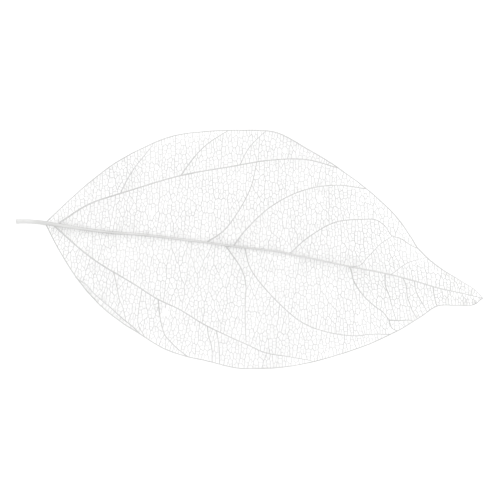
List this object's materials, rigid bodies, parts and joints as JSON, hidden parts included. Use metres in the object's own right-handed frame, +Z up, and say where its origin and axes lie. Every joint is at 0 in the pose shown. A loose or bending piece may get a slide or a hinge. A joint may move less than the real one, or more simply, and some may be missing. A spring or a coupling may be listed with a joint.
{
  "type": "skeleton leaf",
  "caption": "Bleached skeleton leaf: an open net of veins inside a thin margin, on a tapered midrib with a short cut stalk, gently arched and lying flat.",
  "frame": {"origin": "on the surface that the leaf lies on, below the middle of its box", "axes": "+X along the midrib towards the tip, +Y to the leaf's left side seen from above, +Z up"},
  "size_m": [0.0966, 0.0494, 0.0067],
  "materials": {
    "bleached_veins": "matte, bleached plant fibre, slightly translucent"
  },
  "bodies": {
    "root": {"leaf": "bleached_veins"}
  },
  "joints": []
}
